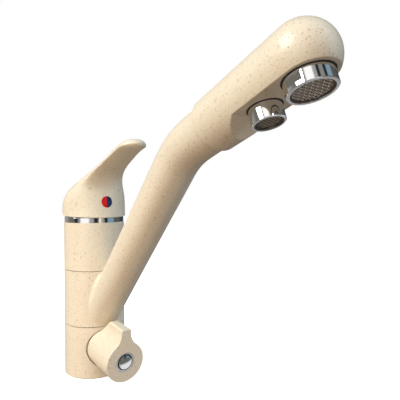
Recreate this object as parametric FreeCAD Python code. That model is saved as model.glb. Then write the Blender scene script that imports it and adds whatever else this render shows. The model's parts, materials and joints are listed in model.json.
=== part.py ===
# Three-way kitchen tap in millimetres, +Z up, front towards -Y, origin at the centre of the foot.
# One spout carries two outlets: mixed water through the large one, filtered water through the small one.
import FreeCAD
import Part
import math
import os

V = FreeCAD.Vector

# Clearance of a fit, how far a cutting tool reaches past a face, and how near counts as on a face
running_gap = 0.05
overcut = 1.0
near_enough = 0.02

# Column: three sections of one diameter, with the swivel ring of the spout in the middle
column_radius = 25.0
foot_rounding = 1.0
base_height = 41.7
seam_gap = 0.5
swivel_gap = 0.4
ring_height = 44.65
upper_body_height = 38.95
neck_radius = 17.0
ring_bore_radius = 18.0

# Swivel: slide rings carry the ring, sealing rings part the two waterways
slide_flange = 0.4
slide_flange_inset = 1.0
slide_sleeve_gap = 0.4
seal_section = 2.6
seal_inset = 5.4
groove_width_share = 1.15
chamber_radius = 20.5
chamber_land = 2.2
filter_chamber_height = 11.0

# Inlets in the foot
inlet_circle_radius = 10.0
inlet_radius = 4.5
inlet_depth = 13.5
stud_hole_radius = 3.4
stud_hole_depth = 16.0
channel_radius = 3.4
mixed_channel_radius = 3.0
filter_channel_radius = 2.2
filter_channel_reach = 12.5
crossing_step = 0.4
riser_wall = 0.5
gasket_inner_radius = 18.0
gasket_width = 3.4
gasket_thickness = 2.2

# Upper body and mixer cartridge
neck_gasket_thickness = 1.0
web_thickness = 3.0
cartridge_seat_depth = 19.3
cartridge_radius = 17.3
cartridge_gap = 0.2
cartridge_base_height = 4.3
port_seal_height = 1.4
port_reach = (8.8, 2.8)
disc_gap = 0.6
disc_thickness = 3.0
moving_disc_radius = 11.8
disc_port_reach = (7.5, 5.5)
disc_port_radius = 2.6
disc_hollow_inset = 1.0
disc_hollow_rounding = 1.0
carrier_height = 3.7
carrier_inset = 1.0
housing_wall = 2.1
shoulder_thickness = 1.4
housing_collar_height = 4.4
housing_collar_wall = 2.6
turret_radius = 11.4
turret_stands = 2.4
rotor_flange = 1.8
pivot_rise = 2.3
pivot_pin_radius = 1.5
pivot_pin_sunk = 0.5
stem_half_width = 4.4
stem_square_drop = 3.4
stem_ball_radius = 2.35
stem_ball_drop = 5.5
stem_neck_radius = 2.0
stem_length_above = 23.0
stem_corner_cut = 0.5
nut_wall = 2.1
nut_height = 8.3
nut_flange = 3.0
nut_notch_half = 2.2

# Chrome trim ring between column and handle
trim_inset = 0.4
trim_straight = 3.9
trim_wall = 1.3
trim_top_radius = 13.2
trim_rise = 8.4
trim_crown_steps = 6

# Handle: skirt and curved lever, leaning a little forward when the water is off
handle_lean = 3.0
handle_travel = 14.0
skirt_overhang = 1.2
skirt_rim_rise = 6.7
skirt_wall = 1.1
skirt_height = 9.0
skirt_recess = 1.0
cavity_inset = 0.4
hub_wall = 2.2
hub_clearance = 5.6
socket_gap = 0.15
dot_rise = 12.6
dot_radius = 4.7
dot_seat_depth = 4.0
dot_plug_depth = 2.6
grub_radius = 2.5
grub_length = 9.0
screw_duct_wall = 0.7

# Spout arm: it leaves the ring upwards and bends over into the head
arm_root_drop = 6.7
arm_climb = 46.7
arm_length = 195.0
arm_radius = 13.76
arm_mouth_radius = 14.1
arm_wall = 2.56
arm_root_wall = 2.9
arm_fillet = 3.0
bend_radius = 55.0
bend_sections = 6
filter_tube_radius = 2.5
filter_tube_wall = 0.8
mixed_port_radius = 3.2
spigot_step = 1.6
spigot_length = 12.0
spigot_wall = 2.6
spigot_seal_section = 1.8
spigot_gap = 0.15

# Spout head with its flat underside
head_climb = 19.5
head_start = 31.0
head_length = 66.5
head_radius = 17.0
head_wall = 4.3
sleeve_step = 1.9
sleeve_length = 16.0
sleeve_seam = 0.3
sleeve_rounding = 1.2
flat_drop = 9.6
flat_run = 12.0
flat_edge_rounding = 0.6
outlet_ledge = 1.0
water_bore_radius = 9.0

# Aerators, measured from the flat underside of the head
main_outlet_back = 0.8
main_aerator_radius = 12.0
main_aerator_stands = 7.4
main_aerator_wall = 1.2
main_aerator_lip = 0.5
main_aerator_shank = 4.4
main_flat_height = 4.6
main_flat_depth = 0.7
main_insert_recess = 0.9
filter_outlet_back = 28.7
filter_aerator_radius = 8.7
filter_aerator_stands = 8.7
filter_aerator_wall = 0.8
filter_aerator_lip = 0.4
filter_aerator_shank = 4.4
filter_insert_recess = 0.8
lip_thickness = 1.0
lip_chamfer = 0.3
thread_step = 0.1
insert_height = 7.0
insert_wall = 1.0
insert_gap = 0.1
outlet_recess_gap = 0.6
outlet_recess_depth = 0.8
washer_thickness = 1.2
washer_reach = 1.0
filter_boss_wall = 1.7
filter_chamber_radius = 6.0
filter_chamber_rise = 2.8
filter_boss_rise = 5.0
slat_count = 7
slat_width = 0.7
slat_recess = 0.2
slat_depth = 1.6
mesh_count = 9
mesh_bar = 0.45
mesh_thickness = 0.5
mesh_rim_width = 1.0
mesh_turn = 45.0

# Filtered-water valve: its axis slopes down a little towards the front
valve_drop = 15.0
valve_slope = 5.7
knob_radius = 15.5
knob_length = 35.0
knob_back_gap = 1.8
knob_wall = 2.6
knob_hub_length = 14.8
pocket_depth = 6.0
pocket_gap = 0.8
lug_length = 20.8
lug_back_run = 10.0
lug_height = 25.7
lug_half_width = 4.1
lug_corner = 1.7
lug_flare = 13.0
knob_edge_rounding = 0.7
cap_radius = 7.5
cap_recess = 1.4
cap_gap = 0.15
cap_dome = 0.8
knob_screw_radius = 2.0
knob_screw_length = 10.0
knob_screw_head_radius = 3.6
knob_screw_head_height = 2.4
knob_screw_slot_half = 0.5
knob_screw_land = 1.0
valve_bore_radius = 8.5
valve_bore_depth = 10.0
valve_seal_thickness = 1.0
valve_seal_step = 1.0
valve_disc_radius = 6.9
valve_disc_thickness = 2.2
valve_port_radius = 2.2
valve_window_rim = 2.0
valve_window_land = 0.5
bonnet_wall = 1.3
bonnet_collar_radius = 11.5
bonnet_corner_cut = 1.0
bonnet_collar_length = 5.0
bonnet_nose_radius = 6.4
bonnet_nose_length = 12.0
valve_stem_radius = 3.6
valve_stem_sunk = 5.8
valve_stem_head = 2.6
stem_seal_section = 1.6


def rod(radius, low, high, x=0.0, y=0.0):
    return Part.makeCylinder(radius, high - low, V(x, y, low))


def tube(outer, inner, low, high):
    return rod(outer, low, high).cut(rod(inner, low - overcut, high + overcut))


def block(x_low, x_high, y_low, y_high, z_low, z_high):
    return Part.makeBox(x_high - x_low, y_high - y_low, z_high - z_low, V(x_low, y_low, z_low))


def lathe(profile):
    corners = [V(radius, 0, height) for radius, height in profile]
    face = Part.Face(Part.makePolygon(corners + corners[:1]))
    return face.revolve(V(0, 0, 0), V(0, 0, 1), 360)


def ring_groove(bore, section, height):
    """Groove in a shaft, as deep as lets a sealing ring just reach the bore around it."""
    half = groove_width_share * section / 2
    return tube(bore + overcut, bore - running_gap - section, height - half, height + half)


def sealing_ring(bore, section, height):
    """Ring whose round section is drawn with eight flats, the outermost just inside the bore."""
    middle_radius = bore - running_gap - section / 2
    corner_radius = section / 2 / math.cos(math.pi / 8)
    profile = []
    for step in range(8):
        angle = math.pi * (step + 0.5) / 4
        profile.append((middle_radius + corner_radius * math.cos(angle),
                        height + corner_radius * math.sin(angle)))
    return lathe(profile)


def fuse(first, *others):
    return first.fuse(list(others)).removeSplitter()


def cut(shape, *tools):
    return shape.cut(list(tools))


def axis_frame(reach, height, climb):
    """Frame whose Z leaves the column axis forwards and climbs by the given angle."""
    turn = FreeCAD.Rotation(V(1, 0, 0), 90 - climb)
    return FreeCAD.Placement(V(0, -reach, height), turn)


def put(shape, frame):
    placed = shape.copy()
    placed.Placement = frame.multiply(placed.Placement)
    return placed


def rounded_edge(radius, low, rounding):
    """Side line of a small rounding at the low end of a round piece, drawn with three flats."""
    line = []
    for step in range(4):
        angle = math.pi / 6 * step
        line.append((radius - rounding + rounding * math.sin(angle),
                     low + rounding - rounding * math.cos(angle)))
    return line


ring_low = base_height + seam_gap
ring_top = ring_low + ring_height
upper_low = ring_top + seam_gap
upper_top = upper_low + upper_body_height
chamber_floor = upper_top - cartridge_seat_depth
neck_gasket_top = chamber_floor - web_thickness
neck_top = neck_gasket_top - neck_gasket_thickness

lower_seal = ring_low + seal_inset
middle_seal = lower_seal + filter_chamber_height + 2 * chamber_land
upper_seal = ring_top - seal_inset
filter_chamber = (lower_seal + chamber_land, middle_seal - chamber_land)
mixed_chamber = (middle_seal + chamber_land, upper_seal - chamber_land)

arm_root_height = ring_low - arm_root_drop
arm_frame = axis_frame(0, arm_root_height, arm_climb)
arm_forward = math.cos(math.radians(arm_climb))
arm_upward = math.sin(math.radians(arm_climb))
bend_angle = arm_climb - head_climb
bend_run = bend_radius * math.tan(math.radians(bend_angle / 2))
corner_reach = arm_length * arm_forward
corner_height = arm_root_height + arm_length * arm_upward
head_frame = axis_frame(corner_reach, corner_height, head_climb)
head_centre = head_start + head_length

valve_height = base_height - valve_drop
valve_frame = axis_frame(0, valve_height, -valve_slope)
pocket_floor = column_radius - pocket_depth
valve_bore_end = pocket_floor - valve_bore_depth
main_outlet_place = head_centre - main_outlet_back
filter_outlet_place = head_centre - filter_outlet_back


def outlet_frame(place):
    """Frame of an outlet: origin on the flat underside of the head, Z in the way of the water."""
    local = FreeCAD.Placement(V(0, -flat_drop, place), FreeCAD.Rotation(V(1, 0, 0), 90))
    return head_frame.multiply(local)


main_frame = outlet_frame(main_outlet_place)
filter_frame = outlet_frame(filter_outlet_place)


def base_body():
    foot = lathe([(0, 0)] + rounded_edge(column_radius, 0, foot_rounding)
                 + [(column_radius, base_height), (0, base_height)])
    body = fuse(foot, rod(neck_radius, base_height - overcut, neck_top))
    for height in (lower_seal, middle_seal, upper_seal):
        body = body.cut(ring_groove(ring_bore_radius, seal_section, height))
    for side in (-1, 1):
        hot_or_cold = fuse(rod(inlet_radius, -overcut, inlet_depth, side * inlet_circle_radius),
                           rod(channel_radius, 0, neck_top + overcut, side * inlet_circle_radius))
        body = body.cut(hot_or_cold)
    riser_radius = valve_port_radius + crossing_step
    riser_reach = valve_bore_end - riser_radius - riser_wall
    filter_inlet_reach = riser_reach + inlet_radius - riser_radius - crossing_step
    filter_inlet = rod(inlet_radius, -overcut, inlet_depth, 0, -filter_inlet_reach)
    filter_riser = rod(riser_radius, inlet_depth - overcut, valve_height, 0, -riser_reach)
    seat_port = put(rod(valve_port_radius, riser_reach, valve_bore_end + overcut), valve_frame)
    stud_hole = rod(stud_hole_radius, -overcut, stud_hole_depth, 0, inlet_circle_radius)
    middle = sum(filter_chamber) / 2
    filter_up = rod(filter_channel_radius, valve_height, middle, 0, -filter_channel_reach)
    out_start = filter_channel_reach - filter_channel_radius - crossing_step
    filter_out = put(rod(filter_channel_radius + crossing_step, out_start, neck_radius + overcut),
                     axis_frame(0, middle, 0))
    mixed_level = sum(mixed_chamber) / 2
    mixed_down = rod(mixed_channel_radius, mixed_level, neck_top + overcut)
    mixed_out = put(rod(mixed_channel_radius + crossing_step, -neck_radius - overcut, neck_radius + overcut),
                    axis_frame(0, mixed_level, 0))
    pocket = put(rod(knob_radius + pocket_gap, pocket_floor, column_radius + knob_radius), valve_frame)
    valve_bore = put(rod(valve_bore_radius, valve_bore_end, pocket_floor + overcut), valve_frame)
    groove = tube(gasket_inner_radius + gasket_width, gasket_inner_radius, -overcut, gasket_thickness)
    return cut(body, filter_inlet, filter_riser, seat_port, stud_hole, filter_up, filter_out,
               mixed_down, mixed_out, pocket, valve_bore, groove)


def base_gasket():
    return tube(gasket_inner_radius + gasket_width - running_gap, gasket_inner_radius + running_gap,
                0, gasket_thickness)


def slide_ring(seat, seal_height, direction):
    """L-shaped slide ring: its flange lies on the seat, its sleeve ends short of the sealing ring."""
    sleeve_end = seal_height - direction * (groove_width_share * seal_section / 2 + slide_sleeve_gap)
    inner = neck_radius + running_gap
    sleeve = ring_bore_radius - running_gap
    flange = column_radius - slide_flange_inset
    return lathe([(inner, seat), (flange, seat), (flange, seat + direction * slide_flange),
                  (sleeve, seat + direction * slide_flange), (sleeve, sleeve_end), (inner, sleeve_end)])


def neck_gasket():
    gasket = rod(neck_radius - running_gap, neck_top, neck_gasket_top)
    gasket = gasket.cut(rod(mixed_channel_radius, neck_top - overcut, neck_gasket_top + overcut))
    for side in (-1, 1):
        gasket = gasket.cut(rod(channel_radius, neck_top - overcut, neck_gasket_top + overcut,
                                side * inlet_circle_radius))
    return gasket


disc_low = chamber_floor + cartridge_base_height
disc_top = disc_low + disc_thickness
moving_top = disc_top + disc_thickness
carrier_top = moving_top + carrier_height
rotor_low = carrier_top + cartridge_gap
rotor_flange_top = rotor_low + rotor_flange
housing_ceiling = rotor_flange_top + cartridge_gap
shoulder_height = housing_ceiling + shoulder_thickness
housing_top = shoulder_height + housing_collar_height
housing_top_radius = turret_radius + cartridge_gap + housing_collar_wall
turret_top = housing_top + turret_stands
pivot_height = rotor_flange_top + pivot_rise
nut_radius = cartridge_radius + nut_wall
nut_top = shoulder_height + nut_flange
nut_low = nut_top - nut_height
ball_back = stem_ball_drop * math.sin(math.radians(handle_lean))


def upper_body():
    body = rod(column_radius, upper_low, upper_top)
    tools = [rod(neck_radius + running_gap, upper_low - overcut, neck_gasket_top),
             rod(mixed_channel_radius, neck_top, chamber_floor + overcut),
             rod(cartridge_radius + cartridge_gap, chamber_floor, upper_top + overcut),
             rod(nut_radius + running_gap, nut_low - cartridge_gap, upper_top + overcut)]
    for side in (-1, 1):
        tools.append(rod(channel_radius, neck_top, chamber_floor + overcut, side * inlet_circle_radius))
    return cut(body, *tools)


def port_holes(radius, low, high):
    reach_x, reach_y = port_reach
    return [rod(radius, low, high, side * reach_x, -reach_y) for side in (-1, 1)]


def cartridge_base():
    base = rod(cartridge_radius, chamber_floor, disc_low)
    seats = port_holes(channel_radius + seal_section / 2, chamber_floor - overcut,
                       chamber_floor + port_seal_height)
    seats.append(rod(mixed_channel_radius + seal_section / 2, chamber_floor - overcut,
                     chamber_floor + port_seal_height, 0, 0))
    ports = port_holes(channel_radius, chamber_floor - overcut, disc_low + overcut)
    ports.append(rod(mixed_channel_radius, chamber_floor - overcut, disc_low + overcut))
    return cut(base, *(seats + ports))


def cartridge_seals():
    low = chamber_floor
    high = chamber_floor + port_seal_height
    reach_x, reach_y = port_reach
    rings = []
    for x, y, bore in ((-reach_x, -reach_y, channel_radius), (reach_x, -reach_y, channel_radius),
                       (0, 0, mixed_channel_radius)):
        outer = bore + seal_section / 2 - running_gap
        rings.append(rod(outer, low, high, x, y).cut(rod(bore, low - overcut, high + overcut, x, y)))
    return Part.makeCompound(rings)


def fixed_disc():
    reach_x, reach_y = disc_port_reach
    disc = rod(cartridge_radius - housing_wall - disc_gap, disc_low, disc_top)
    tools = [rod(disc_port_radius, disc_low - overcut, disc_top + overcut, side * reach_x, -reach_y)
             for side in (-1, 1)]
    tools.append(rod(mixed_channel_radius, disc_low - overcut, disc_top + overcut))
    return cut(disc, *tools)


def moving_disc():
    """The hollow under the disc joins the open inlets to the outlet when the disc slides forwards."""
    disc = rod(moving_disc_radius, disc_top + running_gap, moving_top, 0, ball_back)
    half_wide = disc_port_reach[0] + disc_port_radius - disc_hollow_inset
    front = disc_port_reach[1] - disc_port_radius - disc_hollow_inset
    hollow = block(-half_wide, half_wide, -front, mixed_channel_radius + disc_hollow_inset,
                   disc_top, disc_top + disc_thickness / 2)
    corners = [edge for edge in hollow.Edges if abs(edge.tangentAt(0).z) > 0.9]
    return disc.cut(hollow.makeFillet(disc_hollow_rounding, corners))


def disc_carrier():
    """Its socket stands where the ball of the leaning stem is when the water is off."""
    carrier = rod(moving_disc_radius - carrier_inset, moving_top, carrier_top, 0, ball_back)
    socket = rod(stem_ball_radius + cartridge_gap, moving_top - overcut, carrier_top + overcut, 0, ball_back)
    return carrier.cut(socket)


def cartridge_housing():
    inner = cartridge_radius - housing_wall
    return lathe([(inner, disc_low), (cartridge_radius, disc_low), (cartridge_radius, shoulder_height),
                  (housing_top_radius, shoulder_height), (housing_top_radius, housing_top),
                  (turret_radius + cartridge_gap, housing_top),
                  (turret_radius + cartridge_gap, housing_ceiling), (inner, housing_ceiling)])


def cartridge_rotor():
    flange = rod(cartridge_radius - housing_wall - cartridge_gap, rotor_low, rotor_flange_top)
    turret = fuse(flange, rod(turret_radius, rotor_low, turret_top))
    half = stem_half_width + 2 * cartridge_gap
    swing = half + (turret_top - pivot_height) * math.tan(math.radians(handle_travel)) + cartridge_gap
    slot = block(-half, half, -swing, swing, rotor_low - overcut, turret_top + overcut)
    pin_hole = Part.makeCylinder(pivot_pin_radius, 4 * turret_radius,
                                 V(-2 * turret_radius, 0, pivot_height), V(1, 0, 0))
    return cut(turret, slot, pin_hole)


def pivot_pin():
    return Part.makeCylinder(pivot_pin_radius - running_gap, 2 * (turret_radius - pivot_pin_sunk),
                             V(pivot_pin_sunk - turret_radius, 0, pivot_height), V(1, 0, 0))


def cartridge_nut():
    """Ring nut with four spanner notches; it presses on the shoulder of the cartridge housing."""
    bore = cartridge_radius + running_gap
    mouth = housing_top_radius + running_gap
    nut = lathe([(bore, nut_low), (nut_radius, nut_low), (nut_radius, nut_top), (mouth, nut_top),
                 (mouth, shoulder_height), (bore, shoulder_height)])
    for turn in (0, 90):
        notch = block(-nut_notch_half, nut_notch_half, -column_radius, column_radius,
                      nut_top - nut_flange / 2, nut_top + overcut)
        notch.rotate(V(0, 0, 0), V(0, 0, 1), turn)
        nut = nut.cut(notch)
    return nut


def trim_side(radius, crown_top, top_radius):
    """Side line of the trim ring from the foot up: straight, then turning in over the nut."""
    straight_top = upper_top + trim_straight
    line = [(radius, upper_top)]
    for step in range(trim_crown_steps + 1):
        angle = math.pi / 2 * step / trim_crown_steps
        line.append((top_radius + (radius - top_radius) * math.cos(angle),
                     straight_top + (crown_top - straight_top) * math.sin(angle)))
    return line


def trim_ring():
    radius = column_radius - trim_inset
    crown_top = upper_top + trim_rise
    outside = trim_side(radius, crown_top, trim_top_radius)
    inside = trim_side(radius - trim_wall, crown_top - trim_wall, trim_top_radius)
    return lathe(outside + inside[::-1])


skirt_radius = column_radius + skirt_overhang
skirt_rim_height = pivot_height + skirt_rim_rise
cavity_radius = skirt_radius - cavity_inset
socket_half = stem_half_width + socket_gap
hub_radius = socket_half * math.sqrt(2) + hub_wall
hub_low = turret_top + hub_clearance
dot_height = skirt_rim_height + dot_rise
dot_seat_reach = skirt_radius - dot_seat_depth

# Handle sections from the rim to the tip, in the handle's own upright frame: the point on the back
# or upper line, the point on the front or under line, the half width, and how far up from the under
# line the section is widest, as a share of its depth. A point is its reach to the front and its rise
# above the rim. Reaches and widths of the dome follow the skirt, so they are shares of its radius.
dome_sections = [
    ((-1.0, 0.0), (1.0, 0.0), 1.0, 0.5),
    ((-1.0, skirt_height), (0.939, skirt_height), 0.992, 0.5),
    ((-0.763, 19.5), (0.901, 15.5), 0.931, 0.48),
    ((-0.267, 27.4), (0.855, 22.0), 0.794, 0.45),
    ((0.305, 35.2), (0.901, 28.5), 0.634, 0.4),
]
lever_sections = [
    ((22.0, 42.0), (29.8, 35.8), 13.2, 0.32),
    ((38.0, 49.6), (41.5, 43.0), 11.3, 0.28),
    ((52.0, 56.4), (55.0, 49.6), 10.4, 0.26),
    ((64.0, 60.6), (66.0, 53.6), 9.8, 0.28),
    ((71.0, 61.2), (71.8, 54.6), 7.8, 0.36),
    ((74.9, 59.9), (74.6, 55.6), 4.6, 0.45),
    ((76.4, 58.4), (76.3, 56.9), 1.8, 0.5),
]


def quarter_oval(centre, start, finish):
    """Quarter of an ellipse round the centre, from one half axis to the other."""
    curve = Part.BezierCurve()
    curve.setPoles([centre + start, centre + start + finish, centre + finish])
    curve.setWeight(2, math.sqrt(0.5))
    return curve.toShape()


def handle_section(upper, under, half_width, widest):
    top = V(0, -upper[0], skirt_rim_height + upper[1])
    bottom = V(0, -under[0], skirt_rim_height + under[1])
    centre = bottom + (top - bottom) * widest
    side = V(half_width, 0, 0)
    rise = top - centre
    fall = bottom - centre
    return Part.Wire([quarter_oval(centre, side, rise), quarter_oval(centre, rise, -side),
                      quarter_oval(centre, -side, fall), quarter_oval(centre, fall, side)])


def handle_outside():
    wires = []
    for upper, under, half_width, widest in dome_sections:
        wires.append(handle_section((upper[0] * skirt_radius, upper[1]),
                                    (under[0] * skirt_radius, under[1]),
                                    half_width * skirt_radius, widest))
    for section in lever_sections:
        wires.append(handle_section(*section))
    return Part.makeLoft(wires, True, False)


def lean(shape):
    leaned = shape.copy()
    leaned.rotate(V(0, 0, pivot_height), V(1, 0, 0), handle_lean)
    return leaned


def handle():
    outside = handle_outside()
    recess = rod(skirt_radius - skirt_wall, skirt_rim_height - overcut, skirt_rim_height + skirt_recess)
    cavity = fuse(Part.makeSphere(cavity_radius, V(0, 0, pivot_height)), recess)
    below_rim = rod(2 * skirt_radius, pivot_height - 2 * skirt_radius, skirt_rim_height)
    shell = outside.cut(cavity.cut(below_rim))
    inside = Part.makeSphere(cavity_radius + overcut, V(0, 0, pivot_height)).common(
        rod(2 * skirt_radius, hub_low, pivot_height + 2 * skirt_radius))
    duct = Part.makeCylinder(dot_radius + screw_duct_wall, cavity_radius, V(0, 0, dot_height), V(0, -1, 0))
    hub = fuse(rod(hub_radius, hub_low, pivot_height + cavity_radius), duct).common(inside)
    body = fuse(shell, hub)
    socket = block(-socket_half, socket_half, -socket_half, socket_half, hub_low - overcut,
                   pivot_height + stem_length_above + socket_gap)
    screw_hole = Part.makeCylinder(grub_radius, 2 * skirt_radius, V(0, 0, dot_height), V(0, -1, 0))
    dot_floor = dot_seat_reach - dot_plug_depth
    dot_hole = Part.makeCylinder(dot_radius, skirt_radius, V(0, -dot_floor, dot_height), V(0, -1, 0))
    return lean(cut(body, socket, screw_hole, dot_hole))


def dot_half(side):
    """Half of the coloured dot, flush with the skirt."""
    disc = Part.makeCylinder(dot_radius - running_gap, skirt_radius, V(0, -dot_seat_reach, dot_height),
                             V(0, -1, 0))
    x_low, x_high = sorted((0, side * skirt_radius))
    keep = block(x_low, x_high, -2 * skirt_radius, 0, dot_height - skirt_radius, dot_height + skirt_radius)
    return lean(disc.common(keep).common(handle_outside()))


def dot_plug():
    low = dot_seat_reach - dot_plug_depth
    return lean(Part.makeCylinder(dot_radius - running_gap, dot_plug_depth, V(0, -low, dot_height),
                                  V(0, -1, 0)))


def grub_screw():
    start = stem_half_width
    screw = Part.makeCylinder(grub_radius - running_gap, grub_length, V(0, -start, dot_height),
                              V(0, -1, 0))
    hex_socket = put(hex_prism(grub_radius / 2, 0, grub_length / 3),
                     axis_frame(start + grub_length * 2 / 3, dot_height, 0))
    return lean(screw.cut(hex_socket))


def hex_prism(across_half, low, high):
    corner = across_half / math.cos(math.pi / 6)
    points = []
    for step in range(6):
        angle = math.pi * step / 3
        points.append(V(corner * math.cos(angle), corner * math.sin(angle), low))
    face = Part.Face(Part.makePolygon(points + points[:1]))
    return face.extrude(V(0, 0, high - low))


def cartridge_stem():
    half = stem_half_width
    top = pivot_height + stem_length_above
    ball_height = pivot_height - stem_ball_drop
    low = pivot_height - stem_square_drop
    square = block(-half, half, -half, half, low, top)
    square = square.common(rod(half * math.sqrt(2) - stem_corner_cut, low, top))
    neck = rod(stem_neck_radius, ball_height, pivot_height)
    ball = Part.makeSphere(stem_ball_radius, V(0, 0, ball_height))
    pin_hole = Part.makeCylinder(pivot_pin_radius, 4 * half, V(-2 * half, 0, pivot_height), V(1, 0, 0))
    return lean(fuse(square, neck, ball).cut(pin_hole))


def bent_rod(radius, start, finish):
    """Round rod along the arm, through the bend and on along the head."""
    bend_start = arm_length - bend_run
    straight = put(rod(radius, start, bend_start), arm_frame)
    circle = Part.Face(Part.Wire(Part.makeCircle(radius, V(0, 0, bend_start), V(0, 0, 1))))
    elbow = put(circle.revolve(V(0, -bend_radius, bend_start), V(1, 0, 0), bend_angle), arm_frame)
    onward = put(rod(radius, bend_run, finish), head_frame)
    return fuse(straight, elbow, onward)


def arm_outside():
    """The pipe widens a little through the bend, from the arm's radius to that of its mouth."""
    bend_start = arm_length - bend_run
    circles = []
    for step in range(bend_sections + 1):
        share = step / bend_sections
        eased = share * share * (3 - 2 * share)
        radius = arm_radius + (arm_mouth_radius - arm_radius) * eased
        circle = Part.Wire(Part.makeCircle(radius, V(0, 0, bend_start), V(0, 0, 1)))
        circle.rotate(V(0, -bend_radius, bend_start), V(1, 0, 0), bend_angle * share)
        circles.append(circle)
    straight = put(rod(arm_radius, column_radius / 2, bend_start), arm_frame)
    elbow = put(Part.makeLoft(circles, True, False), arm_frame)
    mouth = put(rod(arm_mouth_radius, bend_run, head_start - sleeve_seam), head_frame)
    return straight, elbow, mouth


arm_bore_radius = arm_radius - arm_wall
arm_bore_start = (chamber_radius + arm_root_wall + arm_bore_radius * arm_upward) / arm_forward
filter_tube_start = (neck_radius + running_gap + filter_tube_radius * arm_upward) / arm_forward
mixed_port_offset = arm_bore_radius - mixed_port_radius - crossing_step
mixed_port_start = (chamber_radius + (mixed_port_offset - mixed_port_radius) * arm_upward) / arm_forward
spigot_radius = arm_mouth_radius - spigot_step
spigot_seal_place = head_start + spigot_length / 2


def ring_hollow():
    """Bore of the swivel ring with the two water chambers."""
    low = ring_low - overcut
    high = ring_top + overcut
    line = [(0, low), (ring_bore_radius, low)]
    for chamber_low, chamber_high in (filter_chamber, mixed_chamber):
        line += [(ring_bore_radius, chamber_low), (chamber_radius, chamber_low),
                 (chamber_radius, chamber_high), (ring_bore_radius, chamber_high)]
    return lathe(line + [(ring_bore_radius, high), (0, high)])


def spout_arm():
    """Swivel ring and pipe in one casting: a taller ring takes the root fillet and is then cut to height."""
    straight, elbow, mouth = arm_outside()
    tall_ring = rod(column_radius, ring_low - 2 * arm_radius, ring_top + 2 * arm_radius)
    root = fuse(tall_ring, straight)
    root = root.makeFillet(arm_fillet, root_edges(root))
    below = rod(4 * column_radius, ring_low - 4 * arm_radius, ring_low)
    above = rod(column_radius + swivel_gap, ring_top, ring_top + 3 * arm_radius)
    root = cut(root, below, above, ring_hollow())
    spigot = put(rod(spigot_radius, bend_run, head_start + spigot_length), head_frame)
    body = fuse(root, elbow, mouth, spigot)
    tools = [bent_rod(arm_bore_radius, arm_bore_start, head_start - overcut),
             put(rod(spigot_radius - spigot_wall, bend_run, head_start + spigot_length + overcut),
                 head_frame),
             put(rod(filter_tube_radius + running_gap, neck_radius, arm_bore_start + overcut), arm_frame),
             put(rod(mixed_port_radius, mixed_port_start, arm_bore_start + overcut, 0, mixed_port_offset),
                 arm_frame),
             put(ring_groove(spigot_radius + spigot_gap, spigot_seal_section, spigot_seal_place), head_frame)]
    return cut(body, *tools)


def root_edges(root):
    """The curve where the pipe leaves the ring."""
    found = []
    for edge in root.Edges:
        middle = edge.valueAt((edge.FirstParameter + edge.LastParameter) / 2)
        on_ring = abs(math.hypot(middle.x, middle.y) - column_radius) < near_enough
        beside_arm = abs(middle.x) < arm_radius + overcut and middle.y < 0
        if on_ring and beside_arm and isinstance(edge.Curve, Part.BSplineCurve):
            found.append(edge)
    return found


def head_seal():
    ring = sealing_ring(spigot_radius + spigot_gap, spigot_seal_section, spigot_seal_place)
    return put(ring, head_frame)


def filter_tube():
    finish = filter_outlet_place - filter_chamber_radius
    return bent_rod(filter_tube_radius, filter_tube_start, finish).cut(
        bent_rod(filter_tube_radius - filter_tube_wall, filter_tube_start - overcut, finish + overcut))


sleeve_radius = arm_mouth_radius + sleeve_step
flat_start = head_start + sleeve_length


def head_outside():
    corners = [V(0, 0, head_start)]
    for radius, place in rounded_edge(sleeve_radius, head_start, sleeve_rounding):
        corners.append(V(0, radius, place))
    side = Part.makePolygon(corners + [V(0, head_radius, head_centre)])
    nose = Part.Arc(V(0, head_radius, head_centre),
                    V(0, head_radius * math.sqrt(0.5), head_centre + head_radius * math.sqrt(0.5)),
                    V(0, 0, head_centre + head_radius))
    back = Part.LineSegment(V(0, 0, head_centre + head_radius), V(0, 0, head_start))
    wire = Part.Wire(side.Edges + [nose.toShape(), back.toShape()])
    bulb = Part.Face(wire).revolve(V(0, 0, 0), V(0, 0, 1), 360)
    deep = 2 * head_radius
    corners = [V(-deep, -flat_drop, flat_start + flat_run), V(-deep, -flat_drop, head_centre + deep),
               V(-deep, -deep, head_centre + deep),
               V(-deep, -deep, flat_start - flat_run * (deep - sleeve_radius) / (sleeve_radius - flat_drop)),
               V(-deep, -sleeve_radius, flat_start)]
    under = Part.Face(Part.makePolygon(corners + corners[:1])).extrude(V(2 * deep, 0, 0))
    return bulb.cut(under)


def underside_edges(outside):
    """The edges along both sides of the flat underside and its run, and round the nose."""
    found = []
    for edge in outside.Edges:
        middle = edge.valueAt((edge.FirstParameter + edge.LastParameter) / 2)
        beside = abs(middle.x) > flat_edge_rounding and middle.z > flat_start + flat_run / 4
        if middle.y < flat_edge_rounding / 2 - flat_drop and (beside or middle.z > head_centre):
            found.append(edge)
    return found


def underside_rod(radius, height, place):
    """Round tool that enters the head by the given height from below its flat underside."""
    return Part.makeCylinder(radius, height + overcut, V(0, -flat_drop - overcut, place), V(0, 1, 0))


def head_hollow():
    """Water room of the head: full round at the sleeve, with a floor over the outlets."""
    floor = main_aerator_shank + washer_thickness + outlet_ledge - flat_drop
    hollow_radius = head_radius - head_wall
    room = fuse(rod(hollow_radius, head_start, head_centre),
                Part.makeSphere(hollow_radius, V(0, 0, head_centre)))
    outlet_floor = block(-head_radius, head_radius, -2 * head_radius, floor,
                         filter_outlet_place - 2 * filter_aerator_radius, head_centre + 2 * head_radius)
    socket = rod(spigot_radius + spigot_gap, head_start - overcut, head_start + spigot_length + overcut)
    return fuse(room.cut(outlet_floor), socket)


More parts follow.
